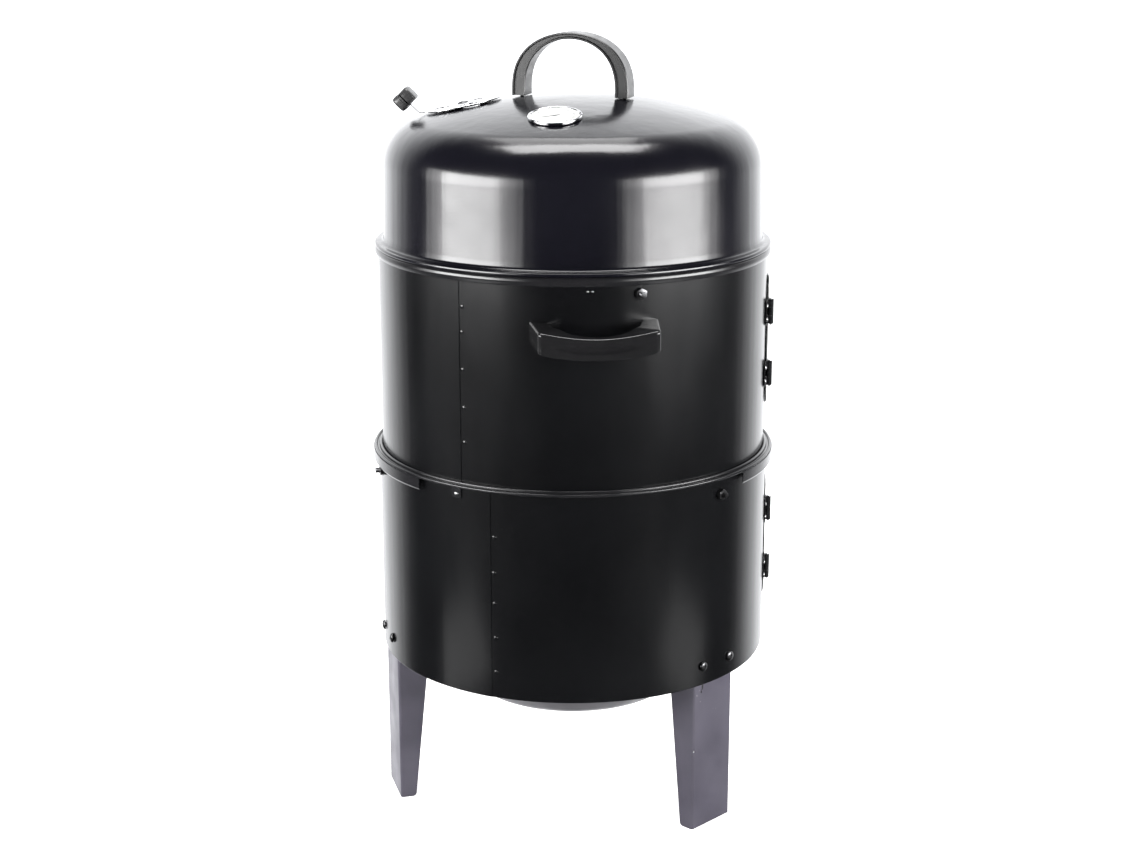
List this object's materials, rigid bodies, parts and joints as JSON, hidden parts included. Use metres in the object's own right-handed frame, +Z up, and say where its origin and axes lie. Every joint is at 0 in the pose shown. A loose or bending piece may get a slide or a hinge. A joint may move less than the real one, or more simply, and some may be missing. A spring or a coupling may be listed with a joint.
{
  "type": "charcoal smoker",
  "caption": "Upright charcoal smoker: two stacked steel barrels with side doors and a domed lid with thermometer and vent, on three sheet-steel legs.",
  "frame": {"origin": "on the floor, on the common axis of the barrels", "axes": "+Z up along the barrels; -Y to the front side handle; +X to the side with the doors"},
  "size_m": [0.4189, 0.48, 0.7988],
  "materials": {
    "black_enamel": "gloss black heat-proof paint",
    "leg_steel": "satin dark grey paint",
    "bowl_steel": "satin dark grey enamel",
    "black_plastic": "gloss moulded black plastic",
    "dark_fastener": "blackened steel",
    "bright_steel": "bright plated steel",
    "chrome": "polished chrome plate",
    "dial_white": "printed white dial"
  },
  "bodies": {
    "lower_barrel": {"connecting_ring": "black_enamel", "leg_bolt_left_a": "dark_fastener", "leg_bolt_left_b": "dark_fastener", "leg_bolt_rear_a": "dark_fastener", "leg_bolt_rear_b": "dark_fastener", "leg_bolt_right_a": "dark_fastener", "leg_bolt_right_b": "dark_fastener", "leg_left": "leg_steel", "leg_rear": "leg_steel", "leg_right": "leg_steel", "lower_bracket_bolt_left": "dark_fastener", "lower_bracket_bolt_rear": "dark_fastener", "lower_bracket_bolt_right": "dark_fastener", "lower_bracket_left": "bright_steel", "lower_bracket_rear": "bright_steel", "lower_bracket_right": "bright_steel", "lower_hinge_bottom_fixed_leaf": "black_enamel", "lower_hinge_bottom_pin": "bright_steel", "lower_hinge_top_fixed_leaf": "black_enamel", "lower_hinge_top_pin": "bright_steel", "lower_shell": "black_enamel"},
    "upper_barrel": {"front_handle": "black_plastic", "front_handle_screw_left": "dark_fastener", "front_handle_screw_right": "dark_fastener", "rear_handle": "black_plastic", "rear_handle_screw_left": "dark_fastener", "rear_handle_screw_right": "dark_fastener", "top_ring": "black_enamel", "upper_bracket_bolt_left": "dark_fastener", "upper_bracket_bolt_rear": "dark_fastener", "upper_bracket_bolt_right": "dark_fastener", "upper_bracket_left": "bright_steel", "upper_bracket_rear": "bright_steel", "upper_bracket_right": "bright_steel", "upper_hinge_bottom_fixed_leaf": "black_enamel", "upper_hinge_bottom_pin": "bright_steel", "upper_hinge_top_fixed_leaf": "black_enamel", "upper_hinge_top_pin": "bright_steel", "upper_shell": "black_enamel"},
    "lid": {"lid_shell": "black_enamel", "lid_handle": "black_plastic", "lid_handle_screw_left": "dark_fastener", "lid_handle_screw_right": "dark_fastener", "thermometer_case": "chrome", "thermometer_dial": "dial_white", "vent_rivet": "dark_fastener"},
    "vent_damper": {"vent_disc": "chrome", "vent_knob": "black_plastic"},
    "upper_door": {"upper_door_panel": "black_enamel", "upper_hinge_bottom_door_leaf": "black_enamel", "upper_hinge_top_door_leaf": "black_enamel"},
    "lower_door": {"lower_door_panel": "black_enamel", "lower_hinge_bottom_door_leaf": "black_enamel", "lower_hinge_top_door_leaf": "black_enamel"},
    "upper_latch": {"upper_door_latch": "black_plastic"},
    "lower_latch": {"lower_door_latch": "black_plastic"},
    "upper_grate": {"upper_grate": "bright_steel"},
    "lower_grate": {"lower_grate": "bright_steel"},
    "water_pan": {"water_pan": "black_enamel"},
    "charcoal_bowl": {"charcoal_bowl": "bowl_steel"}
  },
  "joints": [
    {"name": "upper_barrel_lift", "type": "slide", "parent": "lower_barrel", "child": "upper_barrel", "axis": [0, 0, 1], "range_m": [0, 0.2]},
    {"name": "lid_lift", "type": "slide", "parent": "upper_barrel", "child": "lid", "axis": [0, 0, 1], "range_m": [0, 0.2]},
    {"name": "vent_turn", "type": "hinge", "parent": "lid", "child": "vent_damper", "pos_m": [-0.10996, 0.02137, 0.72477], "axis": [-0.1999, 0.0389, 0.979], "range_deg": [0, 60]},
    {"name": "upper_door_hinge", "type": "hinge", "parent": "upper_barrel", "child": "upper_door", "pos_m": [0.19994, -0.04616, 0.4853], "axis": [0, 0, -1], "range_deg": [0, 140]},
    {"name": "lower_door_hinge", "type": "hinge", "parent": "lower_barrel", "child": "lower_door", "pos_m": [0.20665, -0.02537, 0.267], "axis": [0, 0, -1], "range_deg": [0, 140]},
    {"name": "upper_latch_turn", "type": "hinge", "parent": "upper_door", "child": "upper_latch", "pos_m": [0.16429, 0.1151, 0.4853], "axis": [0.819, 0.5738, 0], "range_deg": [0, 90]},
    {"name": "lower_latch_turn", "type": "hinge", "parent": "lower_door", "child": "lower_latch", "pos_m": [0.15527, 0.1317, 0.267], "axis": [0.7626, 0.6468, 0], "range_deg": [0, 90]},
    {"name": "upper_grate_lift", "type": "slide", "parent": "upper_barrel", "child": "upper_grate", "axis": [0, 0, 1], "range_m": [0, 0.02]},
    {"name": "lower_grate_lift", "type": "slide", "parent": "lower_barrel", "child": "lower_grate", "axis": [0, 0, 1], "range_m": [0, 0.03]},
    {"name": "water_pan_lift", "type": "slide", "parent": "lower_barrel", "child": "water_pan", "axis": [0, 0, 1], "range_m": [0, 0.02]},
    {"name": "charcoal_bowl_lift", "type": "slide", "parent": "lower_barrel", "child": "charcoal_bowl", "axis": [0, 0, 1], "range_m": [0, 0.04]}
  ]
}
